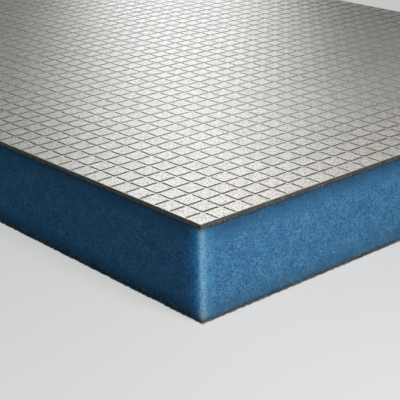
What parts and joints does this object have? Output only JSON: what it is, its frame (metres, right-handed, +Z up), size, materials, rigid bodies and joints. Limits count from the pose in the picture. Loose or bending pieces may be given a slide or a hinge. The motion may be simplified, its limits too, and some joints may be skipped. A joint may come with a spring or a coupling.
{
  "type": "xps insulation board",
  "caption": "Flat butt-edged insulation board: a foam core with a thin mortar coat below and a pale, square-scored mineral facing over a dark base coat above.",
  "frame": {"origin": "middle of the board's underside, on the floor that the board lies on", "axes": "+X along the board, +Y across it, +Z up through its thickness, out of the scored facing"},
  "size_m": [1.25, 0.6, 0.075],
  "materials": {
    "foam": "fine-celled rough-sawn blue extruded polystyrene",
    "base_mortar": "mottled dark grey-brown polymer mortar, rough",
    "mineral_facing": "pale sanded mineral coat, finely speckled, scored in small squares",
    "underside_mortar": "grey polymer mortar skin, matt"
  },
  "bodies": {
    "root": {"underside_coat": "underside_mortar", "foam_core": "foam", "base_coat": "base_mortar", "grid_facing": "mineral_facing"}
  },
  "joints": []
}
